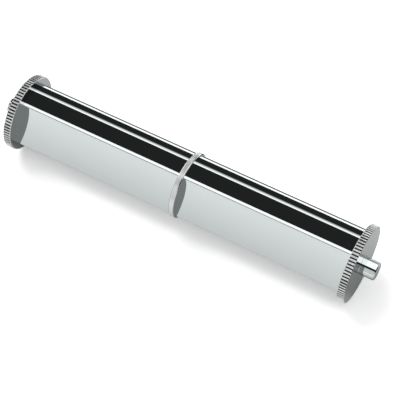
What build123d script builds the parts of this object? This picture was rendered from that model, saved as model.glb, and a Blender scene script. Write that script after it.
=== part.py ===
from build123d import *
from math import cos, pi, radians, sin, tan
import os

# Sprung roller of a toilet paper holder: two bored half bars with milled flats, joined through a
# thin middle ring, with a reeded disc and a spring-loaded pin at each end.
#
# The roller's axis is X. It lies level, with its origin at the middle of the axis. Millimetres.

# The roller
roller_span = 136.8          # between the inner faces of the two discs
bar_diameter = 24.4
bar_across_flats = 16.1
flat_tilt = 18.0             # how far above the horizontal the front flat looks, in degrees
bar_end_chamfer = 0.25

# The middle ring, clamped between the half bars
ring_diameter = 25.8
ring_width = 2.1
ring_edge_chamfer = 0.3

# The stud that draws the half bars together through the ring
stud_diameter = 8.0
stud_length = 26.0
stud_end_chamfer = 0.8
stud_hole_relief = 1.0       # spare depth beyond each end of the stud

# The end discs
disc_diameter = 30.0
disc_width = 2.9
disc_edge_drop = 0.2         # the plain bevel along each edge of the rim: how far it falls
disc_edge_width = 0.2        # and how much of the disc's width it takes
reed_count = 76              # a multiple of four keeps the discs alike on every side
reed_depth = 0.45
reed_land = 0.3              # share of the pitch left as the crest of a reed
boss_diameter = 12.0         # the threaded boss behind each disc, and the bore it screws into
boss_length = 9.0
boss_end_chamfer = 0.5

# The bushes that the pins slide and turn in
bush_length = 8.0
bush_wall = 1.0
bush_mouth_chamfer = 0.3

# The pins: the nose is what stands out, and the thicker shaft ends flush with the disc
nose_diameter = 6.9
nose_length = 6.0
nose_chamfer = 0.4
shaft_diameter = 7.4
shaft_clearance = 0.05       # round the shaft, in its bush and in its disc
collar_diameter = 11.4
collar_width = 2.0
tail_diameter = 4.4
tail_length = 13.0
tail_end_chamfer = 0.4

# The thrust washers between the pins and their springs
washer_width = 1.0
washer_clearance = 0.1       # round the pin's tail

# The springs, as they lie with the pins out
spring_length = 26.0
spring_diameter = 9.4
wire_diameter = 0.9
spring_turns = 7
spring_facets = 12           # straight runs in each turn of the coil
wire_sides = 6
spring_end_gap = 0.03        # left at each end of the coil

# The seats that close the bores behind the springs
seat_width = 2.0
seat_spigot_length = 4.0
seat_spigot_clearance = 0.3  # between the spigot and the inside of the coil
seat_edge_chamfer = 0.3
drill_point = 118.0          # the angle at the bottom of each bore, in degrees

# Places along the axis, for the end that lies towards +X
half_span = roller_span / 2
disc_face = half_span + disc_width
pin_tip = disc_face + nose_length
boss_end = half_span - boss_length
collar_back = boss_end - collar_width
washer_back = collar_back - washer_width
spring_base = washer_back - spring_length
bore_bottom = spring_base - seat_width
ring_face = ring_width / 2
stud_hole_end = stud_length / 2 + stud_hole_relief

# Radii that follow from the sizes above
bore_radius = boss_diameter / 2
nose_radius = nose_diameter / 2
shaft_radius = shaft_diameter / 2
guide_radius = shaft_radius + shaft_clearance
bush_radius = guide_radius + bush_wall
tail_radius = tail_diameter / 2
coil_radius = (spring_diameter - wire_diameter) / 2
spigot_radius = spring_diameter / 2 - wire_diameter - seat_spigot_clearance


def turned(*outline):
    """A piece turned about X, from its half outline of (x, radius) points."""
    return revolve(make_face(Polyline(*outline, close=True)), axis=Axis.X)


def at_left(piece):
    """The copy of a right-hand turned piece that serves the other end."""
    return Rot(0, 0, 180) * piece


def half_bar():
    """Round bar with two opposite flats, bored for the pin's mechanism and for the stud."""
    section = Circle(bar_diameter / 2) & Rectangle(bar_across_flats, bar_diameter)
    length = half_span - ring_face
    bar = extrude(Plane.YZ.offset(ring_face) * Rot(0, 0, -flat_tilt) * section, length)
    ends = bar.faces().filter_by(Axis.X).edges()
    bar = chamfer(ends, bar_end_chamfer)
    point_depth = bore_radius / tan(radians(drill_point / 2))
    bore = turned(
        (bore_bottom - point_depth, 0),
        (bore_bottom, bore_radius),
        (half_span, bore_radius),
        (half_span, 0),
    )
    stud_hole = turned(
        (ring_face, 0),
        (ring_face, stud_diameter / 2),
        (stud_hole_end, stud_diameter / 2),
        (stud_hole_end, 0),
    )
    return bar - bore - stud_hole


def middle_ring():
    """Thin disc with a plain rim that stands just proud of the bars, bored for the stud."""
    ring = Plane.YZ * Cylinder(ring_diameter / 2, ring_width)
    ring = chamfer(ring.edges().filter_by(GeomType.CIRCLE), ring_edge_chamfer)
    return ring - Plane.YZ * Cylinder(stud_diameter / 2, ring_width)


def middle_stud():
    """Stud with chamfered ends, half of it in each bar."""
    end = stud_length / 2
    radius = stud_diameter / 2
    return turned(
        (-end, 0),
        (-end, radius - stud_end_chamfer),
        (-end + stud_end_chamfer, radius),
        (end - stud_end_chamfer, radius),
        (end, radius - stud_end_chamfer),
        (end, 0),
    )


def reeded_blank():
    """The disc's reeded rim: a circle with a ring of V grooves, as thick as the disc."""
    radius = disc_diameter / 2
    half_groove = (1 - reed_land) * 180 / reed_count
    mouth_x = radius * cos(radians(half_groove))
    mouth_y = radius * sin(radians(half_groove))
    # The V runs on as far outside the rim as it is deep, where it is twice as wide
    groove = make_face(
        Polyline(
            (mouth_x - reed_depth, 0),
            (mouth_x + reed_depth, 2 * mouth_y),
            (mouth_x + reed_depth, -2 * mouth_y),
            close=True,
        )
    )
    outline = Circle(radius) - PolarLocations(0, reed_count) * groove
    return extrude(Plane.YZ.offset(half_span) * outline, disc_width)


def end_disc():
    """Reeded disc with bevelled edges and a bored boss that screws into the bar."""
    radius = disc_diameter / 2
    edge = radius - disc_edge_drop
    bevelled = turned(
        (half_span, 0),
        (half_span, edge),
        (half_span + disc_edge_width, radius),
        (disc_face - disc_edge_width, radius),
        (disc_face, edge),
        (disc_face, 0),
    )
    boss = turned(
        (boss_end, 0),
        (boss_end, bore_radius - boss_end_chamfer),
        (boss_end + boss_end_chamfer, bore_radius),
        (half_span, bore_radius),
        (half_span, 0),
    )
    guide = turned(
        (boss_end, 0),
        (boss_end, bush_radius),
        (boss_end + bush_length, bush_radius),
        (boss_end + bush_length, guide_radius),
        (disc_face, guide_radius),
        (disc_face, 0),
    )
    return (reeded_blank() & bevelled) + boss - guide


def guide_bush():
    """Plain bush pressed into the disc's boss."""
    outer = boss_end + bush_length
    return turned(
        (boss_end, guide_radius + bush_mouth_chamfer),
        (boss_end, bush_radius),
        (outer, bush_radius),
        (outer, guide_radius),
        (boss_end + bush_mouth_chamfer, guide_radius),
    )


def sprung_pin():
    """Pin with a thinner nose, a collar that stops it and a tail that guides the spring."""
    tail_end = collar_back - tail_length
    return turned(
        (tail_end, 0),
        (tail_end, tail_radius - tail_end_chamfer),
        (tail_end + tail_end_chamfer, tail_radius),
        (collar_back, tail_radius),
        (collar_back, collar_diameter / 2),
        (boss_end, collar_diameter / 2),
        (boss_end, shaft_radius),
        (disc_face, shaft_radius),
        (disc_face, nose_radius),
        (pin_tip - nose_chamfer, nose_radius),
        (pin_tip, nose_radius - nose_chamfer),
        (pin_tip, 0),
    )


def thrust_washer():
    """Washer that carries the spring's push to the collar and lets the pin turn."""
    inner = tail_radius + washer_clearance
    return turned(
        (washer_back, inner),
        (washer_back, collar_diameter / 2),
        (collar_back, collar_diameter / 2),
        (collar_back, inner),
    )


def coil_spring():
    """Compression spring coiled about X, its turns and its wire in flat facets."""
    coil_length = spring_length - wire_diameter - 2 * spring_end_gap
    start = spring_base + spring_end_gap + wire_diameter / 2
    steps = spring_turns * spring_facets
    turn_step = 2 * pi / spring_facets
    path = Polyline(
        [
            (
                start + coil_length * step / steps,
                coil_radius * cos(step * turn_step),
                coil_radius * sin(step * turn_step),
            )
            for step in range(steps + 1)
        ]
    )
    wire = Plane(origin=path @ 0, z_dir=path % 0) * RegularPolygon(wire_diameter / 2, wire_sides)
    return sweep(wire, path=path, transition=Transition.RIGHT)


def spring_seat():
    """Plug at the bottom of the bore, with a spigot inside the coil."""
    spigot_end = spring_base + seat_spigot_length
    return turned(
        (bore_bottom, 0),
        (bore_bottom, bore_radius - seat_edge_chamfer),
        (bore_bottom + seat_edge_chamfer, bore_radius),
        (spring_base, bore_radius),
        (spring_base, spigot_radius),
        (spigot_end - seat_edge_chamfer, spigot_radius),
        (spigot_end, spigot_radius - seat_edge_chamfer),
        (spigot_end, 0),
    )


right_bar = half_bar()
nodes = {
    "right_bar": right_bar,
    "left_bar": mirror(right_bar, about=Plane.YZ),
    "center_ring": middle_ring(),
    "center_stud": middle_stud(),
}
end_pieces = {
    "disc": end_disc(),
    "bush": guide_bush(),
    "pin": sprung_pin(),
    "thrust_washer": thrust_washer(),
    "spring": coil_spring(),
    "spring_seat": spring_seat(),
}
for name, piece in end_pieces.items():
    nodes["right_" + name] = piece
    nodes["left_" + name] = at_left(piece)

os.makedirs("parts", exist_ok=True)
for name, piece in nodes.items():
    export_step(piece, "parts/" + name + ".step")
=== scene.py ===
from math import cos, pi, radians, sin, tan

import bmesh
import bpy
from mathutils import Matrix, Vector


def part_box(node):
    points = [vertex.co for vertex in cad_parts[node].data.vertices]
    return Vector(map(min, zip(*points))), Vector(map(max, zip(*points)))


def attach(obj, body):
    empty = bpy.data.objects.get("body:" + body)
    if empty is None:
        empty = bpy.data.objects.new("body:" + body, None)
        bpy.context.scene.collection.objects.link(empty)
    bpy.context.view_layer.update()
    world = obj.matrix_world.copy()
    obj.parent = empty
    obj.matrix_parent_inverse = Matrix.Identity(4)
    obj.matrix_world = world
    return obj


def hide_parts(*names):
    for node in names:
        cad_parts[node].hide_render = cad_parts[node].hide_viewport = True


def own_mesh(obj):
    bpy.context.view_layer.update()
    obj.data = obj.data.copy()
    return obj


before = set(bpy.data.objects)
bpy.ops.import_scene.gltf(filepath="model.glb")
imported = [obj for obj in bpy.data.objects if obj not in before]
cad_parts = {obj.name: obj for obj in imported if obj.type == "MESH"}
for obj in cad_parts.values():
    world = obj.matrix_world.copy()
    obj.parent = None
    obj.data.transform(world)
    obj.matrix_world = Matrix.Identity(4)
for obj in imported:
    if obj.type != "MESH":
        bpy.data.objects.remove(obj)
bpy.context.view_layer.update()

MM = 0.001


# ---------------------------------------------------------------- sizes from the frame

bar_low, bar_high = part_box("right_bar")
disc_low, disc_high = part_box("right_disc")
pin_low, pin_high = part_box("right_pin")
seat_low, seat_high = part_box("right_spring_seat")
washer_low, washer_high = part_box("right_thrust_washer")
ring_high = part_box("center_ring")[1]
stud_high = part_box("center_stud")[1]
bush_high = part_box("right_bush")[1]

half_span = bar_high.x           # the inner face of the disc
ring_face = bar_low.x            # where the bar meets the middle ring
bar_radius = bar_high.z
disc_face = disc_high.x          # the outer face of the disc
disc_radius = disc_high.z
boss_end = disc_low.x
pin_tip = pin_high.x
tail_end = pin_low.x
collar_back = washer_high.x
collar_radius = pin_high.z
ring_radius = ring_high.z
stud_end = stud_high.x
stud_radius = stud_high.z
bush_outer = bush_high.x
bush_radius = bush_high.z
bore_bottom = seat_low.x
bore_radius = seat_high.z
floor_level = -disc_radius

# ---------------------------------------------------------------- sizes that a box can't give

flat_distance = 8.05 * MM        # from the axis to each flat of the bar
flat_tilt = radians(18)          # how far above the horizontal the front flat looks
flat_corner = radians(20)        # an edge as sharp as this lies between a flat and the round
bar_edge = 0.16 * MM             # the softened long edges of the flats
bar_sides = 288
stud_hole_relief = 1 * MM        # how much deeper the hole is than the stud
drill_point = radians(118)
drill_tip = 0.02                 # the flat on the drill's point, as a share of its width
overlap = 1 * MM                 # how far a cutting tool starts outside the piece
tool_sides = 96

reed_count = 76
reed_depth = 0.33 * MM
reed_points = 16                 # points in the outline of one reed
reed_crest = reed_points // 2    # the highest of them, counted from the groove
unshaded_depth = 0.45               # down to this share of their depth the reeds keep their bright colour
painted_shade_depth = 0.63                # and below this one they are painted near black: painted shade in the grooves
inner_bevel = 0.37 * MM          # the bevel on the rim's inner edge, along the roller
inner_drop = 0.46 * MM           # and how far it goes down, past the depth of the reeds
outer_bevel = 0.1 * MM           # the broken edge on the outer side, where the reeds run out
boss_chamfer = 0.5 * MM
guide_radius = 3.75 * MM         # the disc's hole, in which the pin's shaft slides

ring_chamfer = 0.3 * MM
ring_edge = 0.1 * MM             # the softening of the ring's edges
ring_sides = 256

shaft_radius = 3.7 * MM          # the pin's thicker part, inside the disc
nose_radius = 3.45 * MM          # and its thinner part, outside
nose_chamfer = 0.4 * MM
tail_radius = 2.2 * MM           # the tail that guides the spring
tail_chamfer = 0.4 * MM
pin_edge = 0.12 * MM             # the softening of the pin's edges
pin_sides = 128

wire_radius = 0.45 * MM
wire_sides = 14
coil_radius = 4.25 * MM          # from the axis to the middle of the wire
spring_turns = 7
turn_steps = 40                  # sections of the wire in one turn
spring_gap = 0.03 * MM           # left free at each end of the spring
spring_length = 26 * MM          # from the seat to the thrust washer, at rest
spring_base = washer_low.x - spring_length

hair = 0.005 * MM                # how nearly two places have to agree
rim_lean = 0.3                   # a face that looks less than this along the axis is on a rim


# ---------------------------------------------------------------- bench tools

def take(piece):
    """Chooses one piece, with nothing else selected."""
    bpy.ops.object.select_all(action="DESELECT")
    piece.select_set(True)
    bpy.context.view_layer.objects.active = piece


def edit(piece):
    """Opens one piece for editing."""
    take(piece)
    bpy.ops.object.mode_set(mode="EDIT")


def pick(piece, kind, wanted):
    """Selects the points, edges or faces of the open piece for which wanted says yes."""
    bpy.ops.mesh.select_mode(type=kind)
    bpy.ops.mesh.select_all(action="DESELECT")
    mesh = bmesh.from_edit_mesh(piece.data)
    items = {"VERT": mesh.verts, "EDGE": mesh.edges, "FACE": mesh.faces}[kind]
    for item in items:
        if wanted(item):
            item.select_set(True)
    mesh.select_flush_mode()
    bmesh.update_edit_mesh(piece.data)


def close_edit():
    """Turns every face outwards and leaves edit mode."""
    bpy.ops.mesh.select_all(action="SELECT")
    bpy.ops.mesh.normals_make_consistent(inside=False)
    bpy.ops.object.mode_set(mode="OBJECT")


def settle(piece, name):
    """Names a new primitive and puts its place and turn into its mesh."""
    piece.name = name
    piece.data.name = name
    bpy.ops.object.transform_apply(location=True, rotation=True, scale=True)


def ring_of_points(name, x, radius, sides):
    """A circle about the roller's axis, the start of every turned piece."""
    bpy.ops.object.select_all(action="DESELECT")
    bpy.ops.mesh.primitive_circle_add(
        vertices=sides, radius=radius, location=(x, 0, 0), rotation=(0, pi / 2, 0)
    )
    piece = bpy.context.object
    settle(piece, name)
    return piece


def turned(name, outline, sides, bored):
    """Turns an outline of (x, radius) points about the axis. A bored piece closes on itself."""
    piece = ring_of_points(name, outline[0][0], outline[0][1], sides)
    edit(piece)
    bpy.ops.mesh.select_mode(type="EDGE")
    bpy.ops.mesh.select_all(action="SELECT")
    for (x0, r0), (x1, r1) in zip(outline, outline[1:]):
        bpy.ops.mesh.extrude_edges_move(TRANSFORM_OT_translate={"value": (x1 - x0, 0, 0)})
        bpy.ops.transform.resize(value=(1, r1 / r0, r1 / r0), center_override=(x1, 0, 0))
    bpy.ops.mesh.select_all(action="DESELECT")
    bpy.ops.mesh.select_non_manifold()
    if bored:
        bpy.ops.mesh.bridge_edge_loops()
    else:
        bpy.ops.mesh.fill_holes(sides=0)
    close_edit()
    return piece


def soften(piece, width, segments, corner):
    """Rounds the piece's sharp edges a little and shades it smooth between them.

    An edge is sharp past the corner, in degrees. With no width it is left as it is.
    """
    take(piece)
    if width:
        rounding = piece.modifiers.new("edges", "BEVEL")
        rounding.width = width
        rounding.segments = segments
        rounding.limit_method = "ANGLE"
        rounding.angle_limit = radians(corner)
        rounding.use_clamp_overlap = True
        bpy.ops.object.modifier_apply(modifier=rounding.name)
    bpy.ops.object.shade_smooth_by_angle(angle=radians(corner))
    weights = piece.modifiers.new("normals", "WEIGHTED_NORMAL")
    weights.keep_sharp = True
    bpy.ops.object.modifier_apply(modifier=weights.name)


def copy_of(piece, name):
    """A second piece with a mesh of its own."""
    take(piece)
    bpy.ops.object.duplicate(linked=False)
    twin = bpy.context.object
    twin.name = name
    twin.data.name = name
    return twin


def mirrored(piece, name):
    """The twin of a piece in the mirror of the roller's middle."""
    twin = copy_of(piece, name)
    edit(twin)
    bpy.ops.mesh.select_all(action="SELECT")
    bpy.ops.transform.resize(value=(-1, 1, 1), center_override=(0, 0, 0))
    close_edit()
    return twin


def turned_about(piece, name):
    """The twin of a piece, turned end for end to serve the other end of the roller."""
    twin = copy_of(piece, name)
    edit(twin)
    bpy.ops.mesh.select_all(action="SELECT")
    bpy.ops.transform.rotate(value=pi, orient_axis="Z", center_override=(0, 0, 0))
    close_edit()
    return twin


# ---------------------------------------------------------------- the half bars

def bore_tool():
    """What the drill takes out of the bar: the pin's bore with its pointed bottom."""
    point = bore_radius / tan(drill_point / 2)
    outline = [
        (bore_bottom - point * (1 - drill_tip), bore_radius * drill_tip),
        (bore_bottom, bore_radius),
        (half_span + overlap, bore_radius),
    ]
    return turned("bore_tool", outline, tool_sides, bored=False)


def stud_hole_tool():
    """What is taken out of the bar's inner end for the stud."""
    outline = [
        (ring_face - overlap, stud_radius),
        (stud_end + stud_hole_relief, stud_radius),
    ]
    return turned("stud_hole_tool", outline, tool_sides, bored=False)


def cut_away(piece, tool):
    """Cuts the tool's shape out of the piece and throws the tool away."""
    take(piece)
    cut = piece.modifiers.new("cut", "BOOLEAN")
    cut.object = tool
    cut.operation = "DIFFERENCE"
    cut.solver = "EXACT"
    bpy.ops.object.modifier_apply(modifier=cut.name)
    bpy.data.objects.remove(tool)


def is_long_edge(edge):
    """Whether an edge of the bar is one of the four between a flat and the round."""
    first, second = edge.verts
    if abs(first.co.x - second.co.x) < hair:
        return False
    return edge.calc_face_angle(0) > flat_corner


def half_bar():
    """Round bar with two opposite flats, bored for the pin's mechanism and for the stud."""
    bpy.ops.object.select_all(action="DESELECT")
    bpy.ops.mesh.primitive_cylinder_add(
        vertices=bar_sides,
        radius=bar_radius,
        depth=half_span - ring_face,
        location=((half_span + ring_face) / 2, 0, 0),
        rotation=(0, pi / 2, 0),
    )
    bar = bpy.context.object
    settle(bar, "right_half_bar")
    edit(bar)
    for side in (1, -1):
        looks = Vector((0, -cos(flat_tilt), sin(flat_tilt))) * side
        bpy.ops.mesh.select_all(action="SELECT")
        bpy.ops.mesh.bisect(
            plane_co=looks * flat_distance, plane_no=looks, use_fill=True, clear_outer=True
        )
    # Only the flats' long edges are softened: the ends seat hard against the disc and the ring
    pick(bar, "EDGE", is_long_edge)
    bpy.ops.mesh.bevel(offset=bar_edge, segments=3, affect="EDGES")
    close_edit()
    cut_away(bar, bore_tool())
    cut_away(bar, stud_hole_tool())
    return bar


right_bar = half_bar()
left_bar = mirrored(right_bar, "left_half_bar")
for bar in (right_bar, left_bar):
    soften(bar, width=0, segments=0, corner=25)


# ---------------------------------------------------------------- the middle ring

def middle_ring():
    """Thin disc with a plain rim that stands just proud of the bars, bored for the stud."""
    edge = ring_radius - ring_chamfer
    outline = [
        (-ring_face, stud_radius),
        (-ring_face, edge),
        (-ring_face + ring_chamfer, ring_radius),
        (ring_face - ring_chamfer, ring_radius),
        (ring_face, edge),
        (ring_face, stud_radius),
    ]
    ring = turned("middle_ring", outline, ring_sides, bored=True)
    soften(ring, width=ring_edge, segments=2, corner=25)
    return ring


ring = middle_ring()


# ---------------------------------------------------------------- the reeded discs

def fall_of_reed(step):
    """How far a reed falls, so many points from its crest, as a share of its depth."""
    return 0.5 - 0.5 * cos(pi * step / reed_crest)


def reeded_disc():
    """Disc with a reeded rim and a bored boss, turned first and reeded afterwards."""
    outline = [
        (boss_end, bush_radius),
        (boss_end, bore_radius - boss_chamfer),
        (boss_end + boss_chamfer, bore_radius),
        (half_span, bore_radius),
        (half_span, disc_radius - inner_drop),
        (half_span + inner_bevel, disc_radius),
        (disc_face - outer_bevel, disc_radius),
        (disc_face, disc_radius - outer_bevel),
        (disc_face, disc_radius - reed_depth - outer_bevel),
        (disc_face, guide_radius),
        (bush_outer, guide_radius),
        (bush_outer, bush_radius),
    ]
    disc = turned("right_reeded_disc", outline, reed_count * reed_points, bored=True)
    # The rim's points, sorted by their place in the outline of a reed
    points = [[] for place in range(reed_points)]
    for point in disc.data.vertices:
        if point.co.yz.length > disc_radius - 2 * outer_bevel:
            angle = Vector((point.co.y, point.co.z)).angle_signed(Vector((1, 0)))
            place = round(angle / (2 * pi) * reed_count * reed_points) % reed_points
            points[place].append(point.index)
    edit(disc)
    inside = half_span + inner_bevel + hair
    for step in range(1, reed_crest + 1):
        # Every reed is alike on its two sides, so two points of it move together
        sunk = reed_depth * fall_of_reed(step)
        both = {(reed_crest + step) % reed_points, reed_crest - step}
        chosen = {index for place in both for index in points[place]}
        pick(disc, "VERT", lambda v: v.index in chosen)
        share = (disc_radius - sunk) / disc_radius
        bpy.ops.transform.resize(value=(1, share, share), center_override=(0, 0, 0))
        # The reed's inner end lies on the plain bevel, so it starts nearer the edge
        pick(disc, "VERT", lambda v: v.index in chosen and v.co.x < inside)
        slide = inner_bevel * sunk / inner_drop
        bpy.ops.transform.translate(value=(-slide, 0, 0))
    close_edit()
    return disc


right_disc = reeded_disc()
left_disc = turned_about(right_disc, "left_reeded_disc")
for disc in (right_disc, left_disc):
    soften(disc, width=0, segments=0, corner=34)


# ---------------------------------------------------------------- the sprung pins

def sprung_pin():
    """Pin with a thinner nose, a collar that stops it and a tail that guides the spring."""
    outline = [
        (tail_end, tail_radius - tail_chamfer),
        (tail_end + tail_chamfer, tail_radius),
        (collar_back, tail_radius),
        (collar_back, collar_radius),
        (boss_end, collar_radius),
        (boss_end, shaft_radius),
        (disc_face, shaft_radius),
        (disc_face, nose_radius),
        (pin_tip - nose_chamfer, nose_radius),
        (pin_tip, nose_radius - nose_chamfer),
    ]
    return turned("right_sprung_pin", outline, pin_sides, bored=False)


right_pin = sprung_pin()
left_pin = turned_about(right_pin, "left_sprung_pin")
for pin in (right_pin, left_pin):
    soften(pin, width=pin_edge, segments=3, corner=30)


# ---------------------------------------------------------------- the springs

def coil_spring():
    """Round wire wound about the axis, from its seat to the thrust washer."""
    first = spring_base + spring_gap + wire_radius
    last = washer_low.x - spring_gap - wire_radius
    bpy.ops.object.select_all(action="DESELECT")
    bpy.ops.mesh.primitive_circle_add(
        vertices=wire_sides, radius=wire_radius, location=(first, coil_radius, 0)
    )
    spring = bpy.context.object
    settle(spring, "right_coil_spring")
    winding = spring.modifiers.new("winding", "SCREW")
    winding.axis = "X"
    winding.angle = 2 * pi
    winding.screw_offset = (last - first) / spring_turns
    winding.iterations = spring_turns
    winding.steps = turn_steps
    winding.render_steps = turn_steps
    bpy.ops.object.modifier_apply(modifier=winding.name)
    edit(spring)
    bpy.ops.mesh.select_mode(type="EDGE")
    bpy.ops.mesh.select_all(action="SELECT")
    bpy.ops.mesh.remove_doubles(threshold=hair)
    bpy.ops.mesh.select_all(action="DESELECT")
    bpy.ops.mesh.select_non_manifold()
    bpy.ops.mesh.fill_holes(sides=0)
    close_edit()
    return spring


right_spring = coil_spring()
left_spring = turned_about(right_spring, "left_coil_spring")
for spring in (right_spring, left_spring):
    soften(spring, width=0, segments=0, corner=50)


# ---------------------------------------------------------------- finishes

# The colour sockets of a Mix node, which it can't tell apart by name
MIX_FIRST = 6
MIX_SECOND = 7
MIX_RESULT = 2


def new_finish(name):
    """A finish still to be made, with its shader and the place on the piece that it reads."""
    finish = bpy.data.materials.new(name)
    finish.use_nodes = True
    nodes = finish.node_tree.nodes
    shader = nodes["Principled BSDF"]
    place = nodes.new("ShaderNodeTexCoord")
    return finish, shader, place.outputs["Object"]


def stretched(finish, place, scale):
    """The place on the piece, stretched so that a pattern runs longer one way."""
    mapping = finish.node_tree.nodes.new("ShaderNodeMapping")
    mapping.inputs["Scale"].default_value = scale
    finish.node_tree.links.new(place, mapping.inputs["Vector"])
    return mapping.outputs["Vector"]


def noise(finish, place, scale, detail):
    """A soft random pattern, so many lumps to the metre."""
    pattern = finish.node_tree.nodes.new("ShaderNodeTexNoise")
    pattern.inputs["Scale"].default_value = scale
    pattern.inputs["Detail"].default_value = detail
    finish.node_tree.links.new(place, pattern.inputs["Vector"])
    return pattern.outputs["Fac"]


def spread(finish, value, low, high, start=0.3, end=0.7):
    """Turns a pattern into numbers from low, where it is at its start, to high, at its end."""
    ramp = finish.node_tree.nodes.new("ShaderNodeMapRange")
    ramp.inputs["From Min"].default_value = start
    ramp.inputs["From Max"].default_value = end
    ramp.inputs["To Min"].default_value = low
    ramp.inputs["To Max"].default_value = high
    finish.node_tree.links.new(value, ramp.inputs["Value"])
    return ramp.outputs["Result"]


def tint(finish, value, dark, light):
    """Turns a pattern into a colour between two tones."""
    mix = finish.node_tree.nodes.new("ShaderNodeMix")
    mix.data_type = "RGBA"
    mix.inputs[MIX_FIRST].default_value = (*dark, 1)
    mix.inputs[MIX_SECOND].default_value = (*light, 1)
    finish.node_tree.links.new(value, mix.inputs[0])
    return mix.outputs[MIX_RESULT]


def bumps(finish, value, height):
    """Raises the surface by a pattern, so many metres at its highest."""
    bump = finish.node_tree.nodes.new("ShaderNodeBump")
    bump.inputs["Strength"].default_value = 1.0
    bump.inputs["Distance"].default_value = height
    finish.node_tree.links.new(value, bump.inputs["Height"])
    return bump.outputs["Normal"]


def added(finish, first, second):
    """The sum of two patterns."""
    add = finish.node_tree.nodes.new("ShaderNodeMath")
    add.operation = "ADD"
    finish.node_tree.links.new(first, add.inputs[0])
    finish.node_tree.links.new(second, add.inputs[1])
    return add.outputs["Value"]


def lay_on(finish, shader, tone, gloss, relief):
    """Gives a finish its colour, its roughness and its fine relief."""
    links = finish.node_tree.links
    links.new(tone, shader.inputs["Base Color"])
    links.new(gloss, shader.inputs["Roughness"])
    links.new(relief, shader.inputs["Normal"])


def polished_chrome():
    """Bright plated brass: a cool mirror with a trace of unevenness from its polishing."""
    finish, shader, place = new_finish("polished_chrome")
    clouds = noise(finish, place, scale=90, detail=2.0)
    hairs = noise(finish, stretched(finish, place, (1, 14, 14)), scale=260, detail=3.0)
    tone = tint(finish, clouds, dark=(0.715, 0.757, 0.760), light=(0.740, 0.783, 0.786))
    cloudy = spread(finish, clouds, low=0.010, high=0.022)
    hairy = spread(finish, hairs, low=0.0, high=0.012)
    relief = bumps(finish, clouds, height=0.0015 * MM)
    lay_on(finish, shader, tone, added(finish, cloudy, hairy), relief)
    shader.inputs["Metallic"].default_value = 1.0
    return finish


def reeded_chrome():
    """The plating on the reeds: bright on their crests and rougher between them, with painted shade
    that makes the grooves near black.
    """
    finish, shader, place = new_finish("reeded_chrome")
    links = finish.node_tree.links
    clouds = noise(finish, place, scale=90, detail=2.0)
    # How far a place is from the axis, and so how deep it lies between the reeds
    around = finish.node_tree.nodes.new("ShaderNodeVectorMath")
    around.operation = "MULTIPLY"
    around.inputs[1].default_value = (0, 1, 1)
    links.new(place, around.inputs[0])
    radius = finish.node_tree.nodes.new("ShaderNodeVectorMath")
    radius.operation = "LENGTH"
    links.new(around.outputs["Vector"], radius.inputs[0])
    # Painted shade: deep in the grooves the colour goes near black, for the dark they mirror and the
    # shade between the reeds
    shade_radius = disc_radius - reed_depth * painted_shade_depth
    bright_radius = disc_radius - reed_depth * unshaded_depth
    crest = spread(finish, radius.outputs["Value"], low=0.0, high=1.0, start=shade_radius, end=bright_radius)
    tone = tint(finish, crest, dark=(0.022, 0.023, 0.023), light=(0.96, 0.97, 0.97))
    cloudy = spread(finish, clouds, low=0.12, high=0.16)
    dull = spread(finish, crest, low=0.2, high=0.0, start=0, end=1)
    relief = bumps(finish, clouds, height=0.0015 * MM)
    lay_on(finish, shader, tone, added(finish, cloudy, dull), relief)
    shader.inputs["Metallic"].default_value = 0.7
    return finish


def satin_chrome():
    """The same plating over a brushed ground, for the ring's rim and the discs' inner bevels."""
    finish, shader, place = new_finish("satin_chrome")
    clouds = noise(finish, place, scale=120, detail=2.0)
    brushing = noise(finish, stretched(finish, place, (30, 1, 1)), scale=400, detail=4.0)
    tone = tint(finish, clouds, dark=(0.84, 0.85, 0.845), light=(0.88, 0.89, 0.885))
    cloudy = spread(finish, clouds, low=0.30, high=0.34)
    brushed = spread(finish, brushing, low=0.0, high=0.06)
    relief = bumps(finish, brushing, height=0.002 * MM)
    lay_on(finish, shader, tone, added(finish, cloudy, brushed), relief)
    shader.inputs["Metallic"].default_value = 0.55
    return finish


def plain_steel():
    """Bare turned steel with a film of oil, for the stud, the seats and the springs."""
    finish, shader, place = new_finish("plain_steel")
    clouds = noise(finish, place, scale=300, detail=3.0)
    turning = noise(finish, stretched(finish, place, (20, 1, 1)), scale=300, detail=3.0)
    tone = tint(finish, clouds, dark=(0.36, 0.35, 0.34), light=(0.52, 0.51, 0.50))
    gloss = spread(finish, turning, low=0.24, high=0.42)
    relief = bumps(finish, turning, height=0.004 * MM)
    lay_on(finish, shader, tone, gloss, relief)
    shader.inputs["Metallic"].default_value = 1.0
    return finish


def bush_brass():
    """Turned brass, dulled a little by handling."""
    finish, shader, place = new_finish("bush_brass")
    clouds = noise(finish, place, scale=260, detail=4.0)
    turning = noise(finish, stretched(finish, place, (24, 1, 1)), scale=300, detail=3.0)
    tone = tint(finish, clouds, dark=(0.62, 0.43, 0.17), light=(0.80, 0.60, 0.28))
    gloss = spread(finish, turning, low=0.20, high=0.38)
    relief = bumps(finish, turning, height=0.004 * MM)
    lay_on(finish, shader, tone, gloss, relief)
    shader.inputs["Metallic"].default_value = 1.0
    return finish


def washer_nylon():
    """Natural nylon, faintly mottled."""
    finish, shader, place = new_finish("washer_nylon")
    clouds = noise(finish, place, scale=500, detail=4.0)
    tone = tint(finish, clouds, dark=(0.74, 0.71, 0.62), light=(0.84, 0.82, 0.75))
    gloss = spread(finish, clouds, low=0.36, high=0.52)
    relief = bumps(finish, clouds, height=0.01 * MM)
    lay_on(finish, shader, tone, gloss, relief)
    return finish


def finish_piece(piece, *finishes):
    """Gives a new piece its finishes. All of it has the first, until faces get another."""
    for finish in finishes:
        piece.data.materials.append(finish)


chrome = polished_chrome()
reeded = reeded_chrome()
satin = satin_chrome()
steel = plain_steel()
brass = bush_brass()
nylon = washer_nylon()

for piece in (right_bar, left_bar, right_pin, left_pin):
    finish_piece(piece, chrome)
for piece in (right_spring, left_spring):
    finish_piece(piece, steel)

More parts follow.
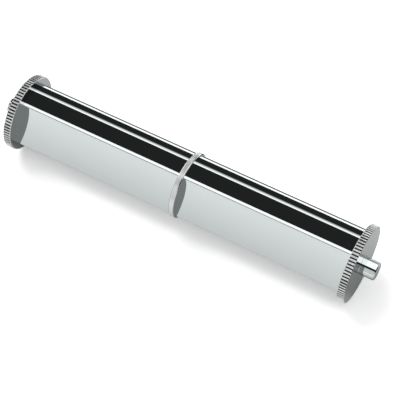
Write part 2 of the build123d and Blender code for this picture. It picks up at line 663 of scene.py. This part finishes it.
# The discs are polished, with their reeds in a finish of their own and the inner bevel satin
for disc in (right_disc, left_disc):
    finish_piece(disc, chrome, reeded, satin)
    for face in disc.data.polygons:
        if face.center.yz.length < disc_radius - inner_drop - hair:
            continue
        if abs(face.normal.x) < rim_lean:
            face.material_index = 1
        elif abs(face.center.x) < half_span + inner_bevel:
            face.material_index = 2

# The ring's faces are polished like the bars, and its rim is satin
finish_piece(ring, chrome, satin)
for face in ring.data.polygons:
    if abs(face.normal.x) < rim_lean and face.center.yz.length > ring_radius - ring_chamfer:
        face.material_index = 1


def refinish(node, finish):
    """Gives a piece of the frame its finish."""
    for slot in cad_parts[node].material_slots:
        slot.material = finish


refinish("center_stud", steel)
for side in ("left", "right"):
    refinish(side + "_bush", brass)
    refinish(side + "_thrust_washer", nylon)
    refinish(side + "_spring_seat", steel)


# ---------------------------------------------------------------- what each piece rides on

def dressed(piece, body, slot, *nodes):
    """Hangs a piece on its body, in place of the plain solids."""
    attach(piece, body)
    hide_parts(*nodes)


dressed(right_bar, "roller", "polished_chrome", "right_bar")
dressed(left_bar, "roller", "polished_chrome", "left_bar")
dressed(ring, "roller", "satin_chrome", "center_ring")
dressed(right_disc, "roller", "polished_chrome", "right_disc")
dressed(left_disc, "roller", "polished_chrome", "left_disc")
dressed(right_pin, "right_plunger", "polished_chrome", "right_pin")
dressed(left_pin, "left_plunger", "polished_chrome", "left_pin")
dressed(right_spring, "roller", "plain_steel", "right_spring")
dressed(left_spring, "roller", "plain_steel", "left_spring")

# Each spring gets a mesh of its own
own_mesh(right_spring)
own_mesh(left_spring)


# ---------------------------------------------------------------- the floor, the cards and the light

# The floor's tone as the metal mirrors it, by how far behind the roller's axis it lies: painted
# shadow darker towards and under the roller, a painted dark band from 31 to 56 mm behind it, and
# past that a painted glow brighter than white
floor_tones = (
    (-90 * MM, 1.02),
    (-60 * MM, 0.97),
    (-31 * MM, 0.80),
    (-12 * MM, 0.80),
    (-3 * MM, 0.46),
    (12 * MM, 0.48),
    (27 * MM, 0.57),
    (31 * MM, 0.14),
    (56 * MM, 0.10),
    (62 * MM, 1.45),
)
floor_size = 6                   # metres, past the edge of any view
floor_twice = 0.3                # its painted shade after two mirrors, darker than after one
floor_seen = 1.15                # its tone as the camera sees it
floor_lift = 0.27                # and what is added there, which lightens the shadow

card_radius = 150 * MM
card_steps = 24                  # flat strips in one bent card
far_left = -175 * MM             # where the cards end on the left
low_left = -147 * MM             # and where the low one does
card_right = 49 * MM             # the chrome bar mirrors the cards, and the pins look past them
side_cards = 85 * MM             # past here the outer face of the disc mirrors them to the pin
far_right = 400 * MM
end_place = 250 * MM             # so far off that the disc's face mirrors the floor before it
end_height = 110 * MM
end_width = 220 * MM
black_tone = 0.019
gray_tone = 0.36
pale_tone = 0.68
pale_twice = 0.24                # the tone of a pale card after two mirrors
fade_tone = 1.35                 # where a card begins as bright as the sky beside it

sky_tone = 0.64                  # how strong the sky is as light
sky_mirrored = 1.32              # and as the metal mirrors it

key_toward = (0.75, -0.3, -1.0)
key_strength = 1.3
key_width = 40                   # in degrees, for a soft shadow


def pale_floor():
    """White floor that keeps the soft shadow and is bare white away from it to the camera, and shows
    the metal painted bands of shadow, dark and glow.
    """
    finish = bpy.data.materials.new("pale_floor")
    finish.use_nodes = True
    nodes = finish.node_tree.nodes
    links = finish.node_tree.links
    nodes.clear()
    end = nodes.new("ShaderNodeOutputMaterial")
    paper = nodes.new("ShaderNodeBsdfDiffuse")
    path = nodes.new("ShaderNodeLightPath")
    # What the metal mirrors: painted bands of shadow, dark and glow that run along the roller
    place = nodes.new("ShaderNodeTexCoord")
    across = nodes.new("ShaderNodeSeparateXYZ")
    links.new(place.outputs["Object"], across.inputs["Vector"])
    near = nodes.new("ShaderNodeMapRange")
    near.inputs["From Min"].default_value = floor_tones[0][0]
    near.inputs["From Max"].default_value = floor_tones[-1][0]
    links.new(across.outputs["Y"], near.inputs["Value"])
    tones = nodes.new("ShaderNodeValToRGB")
    stops = tones.color_ramp.elements
    while len(stops) < len(floor_tones):
        stops.new(0.5)
    reach = floor_tones[-1][0] - floor_tones[0][0]
    for stop, (y, tone) in zip(stops, floor_tones):
        stop.position = (y - floor_tones[0][0]) / reach
        stop.color = (tone, tone, tone, 1)
    links.new(near.outputs["Result"], tones.inputs["Fac"])
    # After one mirror it has these painted tones, and after two the same painted shade all over
    deep = nodes.new("ShaderNodeMath")
    deep.operation = "GREATER_THAN"
    deep.inputs[1].default_value = 1.5  # between one mirror and two
    links.new(path.outputs["Ray Depth"], deep.inputs[0])
    twice = nodes.new("ShaderNodeMix")
    twice.data_type = "RGBA"
    links.new(tones.outputs["Color"], twice.inputs[MIX_FIRST])
    twice.inputs[MIX_SECOND].default_value = (floor_twice, floor_twice, floor_twice, 1)
    links.new(deep.outputs["Value"], twice.inputs[0])
    shade = nodes.new("ShaderNodeMix")
    shade.data_type = "RGBA"
    links.new(twice.outputs[MIX_RESULT], shade.inputs[MIX_FIRST])
    shade.inputs[MIX_SECOND].default_value = (floor_seen, floor_seen, floor_seen, 1)
    links.new(path.outputs["Is Camera Ray"], shade.inputs[0])
    links.new(shade.outputs[MIX_RESULT], paper.inputs["Color"])
    # In the camera's view the paper is lifted a little, which lightens the shadow
    glow = nodes.new("ShaderNodeEmission")
    lift = nodes.new("ShaderNodeMath")
    lift.operation = "MULTIPLY"
    lift.inputs[1].default_value = floor_lift
    links.new(path.outputs["Is Camera Ray"], lift.inputs[0])
    links.new(lift.outputs["Value"], glow.inputs["Strength"])
    both = nodes.new("ShaderNodeAddShader")
    links.new(paper.outputs["BSDF"], both.inputs[0])
    links.new(glow.outputs["Emission"], both.inputs[1])
    links.new(both.outputs["Shader"], end.inputs["Surface"])
    return finish


def hide_card(card, tone, twice=None):
    """Gives a card its tone, and leaves it to be seen only in the chrome.

    A card may have another tone where it is seen by way of two mirrors.
    """
    finish = bpy.data.materials.new(card.name)
    finish.use_nodes = True
    nodes = finish.node_tree.nodes
    nodes.clear()
    end = nodes.new("ShaderNodeOutputMaterial")
    glow = nodes.new("ShaderNodeEmission")
    glow.inputs["Color"].default_value = (1, 1, 1, 1)
    glow.inputs["Strength"].default_value = tone
    finish.node_tree.links.new(glow.outputs["Emission"], end.inputs["Surface"])
    if twice is not None:
        path = nodes.new("ShaderNodeLightPath")
        change = nodes.new("ShaderNodeMapRange")
        change.inputs["From Min"].default_value = 1
        change.inputs["From Max"].default_value = 2
        change.inputs["To Min"].default_value = tone
        change.inputs["To Max"].default_value = twice
        finish.node_tree.links.new(path.outputs["Ray Depth"], change.inputs["Value"])
        finish.node_tree.links.new(change.outputs["Result"], glow.inputs["Strength"])
    card.data.materials.append(finish)
    card.visible_camera = False
    card.visible_diffuse = False
    card.visible_shadow = False
    card.visible_transmission = False
    card.visible_volume_scatter = False
    return finish, glow


def end_card(name, x, low_z, high_z, width, tone):
    """Upright card that faces an end of the roller."""
    bpy.ops.object.select_all(action="DESELECT")
    bpy.ops.mesh.primitive_plane_add(
        size=1, location=(x, 0, (low_z + high_z) / 2), rotation=(0, pi / 2, 0)
    )
    card = bpy.context.object
    card.scale = (high_z - low_z, width, 1)
    settle(card, name)
    hide_card(card, tone)


def bent_card(name, low, high, low_x, high_x, tone, high_tone=None, twice=None):
    """Card bent about the roller's axis.

    It runs from the low to the high angle, in degrees from the front, up and over. With a
    second tone it fades to it.
    """
    low_angle = radians(low)
    high_angle = radians(high)
    bpy.ops.object.select_all(action="DESELECT")
    bpy.ops.mesh.primitive_grid_add(
        x_subdivisions=1, y_subdivisions=card_steps, size=2, location=(0, 0, 0)
    )
    card = bpy.context.object
    settle(card, name)
    # The flat grid runs from -1 to 1 both ways
    for point in card.data.vertices:
        share = (point.co.y + 1) / 2
        angle = low_angle + (high_angle - low_angle) * share
        x = low_x + (high_x - low_x) * (point.co.x + 1) / 2
        point.co = (x, -card_radius * cos(angle), card_radius * sin(angle))
    finish, glow = hide_card(card, tone, twice)
    if high_tone is not None:
        nodes = finish.node_tree.nodes
        links = finish.node_tree.links
        place = nodes.new("ShaderNodeTexCoord")
        across = nodes.new("ShaderNodeSeparateXYZ")
        fade = nodes.new("ShaderNodeMapRange")
        fade.inputs["From Min"].default_value = card_radius * sin(low_angle)
        fade.inputs["From Max"].default_value = card_radius * sin(high_angle)
        fade.inputs["To Min"].default_value = tone
        fade.inputs["To Max"].default_value = high_tone
        links.new(place.outputs["Object"], across.inputs["Vector"])
        links.new(across.outputs["Z"], fade.inputs["Value"])
        links.new(fade.outputs["Result"], glow.inputs["Strength"])


bpy.ops.object.select_all(action="DESELECT")
bpy.ops.mesh.primitive_plane_add(size=floor_size, location=(0, 0, floor_level))
floor = bpy.context.object
settle(floor, "floor")
floor.data.materials.append(pale_floor())

# Each card's low and high angle, low and high x, and tone. The bar, ring and discs mirror these
bent_card("card_over", 83.5, 140.5, far_left, card_right, black_tone)
bent_card("card_fade", 144, 154.5, far_left, card_right, fade_tone, black_tone)
bent_card("card_behind", 154.5, 185.5, far_left, card_right, black_tone)
bent_card("card_slit", 46, 71, far_left, far_right, black_tone)
bent_card("card_front", 9.8, 46, far_left, side_cards, pale_tone)
bent_card("card_low", -4, 9.8, low_left, card_right, black_tone)
# And only the right pin is meant to mirror these
bent_card("pin_low", -4, 9.8, card_right, side_cards, pale_tone)
bent_card("pin_side", -4, 46, side_cards, far_right, pale_tone, twice=pale_twice)
bent_card("pin_behind", 148, 185.5, card_right, far_right, gray_tone)
end_card("pin_end", end_place, floor_level, end_height, end_width, black_tone)


def hang_sky():
    """White tent about the set: plain white behind the roller, and soft light from all sides."""
    world = bpy.data.worlds.new("white_tent")
    bpy.context.scene.world = world
    world.use_nodes = True
    nodes = world.node_tree.nodes
    links = world.node_tree.links
    sky = nodes["Background"]
    sky.inputs["Color"].default_value = (1, 1, 1, 1)
    # The camera sees it at a strength of 1, and the metal a little brighter
    path = nodes.new("ShaderNodeLightPath")
    glossy = nodes.new("ShaderNodeMapRange")
    glossy.inputs["To Min"].default_value = sky_tone
    glossy.inputs["To Max"].default_value = sky_mirrored
    links.new(path.outputs["Is Glossy Ray"], glossy.inputs["Value"])
    either = nodes.new("ShaderNodeMath")
    either.operation = "MAXIMUM"
    links.new(path.outputs["Is Camera Ray"], either.inputs[0])
    links.new(glossy.outputs["Result"], either.inputs[1])
    links.new(either.outputs["Value"], sky.inputs["Strength"])


def hang_lamp(name, toward, strength, width):
    """A soft distant lamp that isn't itself mirrored in the chrome."""
    data = bpy.data.lights.new(name, "SUN")
    data.energy = strength
    data.angle = radians(width)
    light = bpy.data.objects.new(name, data)
    bpy.context.scene.collection.objects.link(light)
    light.rotation_mode = "QUATERNION"
    light.rotation_quaternion = Vector(toward).to_track_quat("-Z", "Y")
    light.visible_glossy = False


hang_sky()
hang_lamp("key_lamp", key_toward, key_strength, key_width)


# ---------------------------------------------------------------- the camera

camera_azimuth = radians(29.1165)      # from the front, towards the right end
camera_elevation = radians(55.1787)
camera_distance = 0.55611              # metres from the middle of the roller
lens_length = 135.4                    # in millimetres
film_width = 36                        # in millimetres
shift_right = 0.03123
shift_up = -0.03715
nearest = 0.02
farthest = 10


def place_camera():
    """Long lens, looking down on the roller from the front and a little from the right."""
    level = cos(camera_elevation)
    back = Vector(
        (sin(camera_azimuth) * level, -cos(camera_azimuth) * level, sin(camera_elevation))
    )
    data = bpy.data.cameras.new("camera")
    camera = bpy.data.objects.new("camera", data)
    bpy.context.scene.collection.objects.link(camera)
    camera.location = back * camera_distance
    camera.rotation_mode = "QUATERNION"
    camera.rotation_quaternion = (-back).to_track_quat("-Z", "Y")
    data.sensor_width = film_width
    data.lens = lens_length
    data.shift_x = shift_right
    data.shift_y = shift_up
    data.clip_start = nearest
    data.clip_end = farthest
    bpy.context.scene.camera = camera


place_camera()
bpy.context.scene.view_settings.view_transform = "Standard"
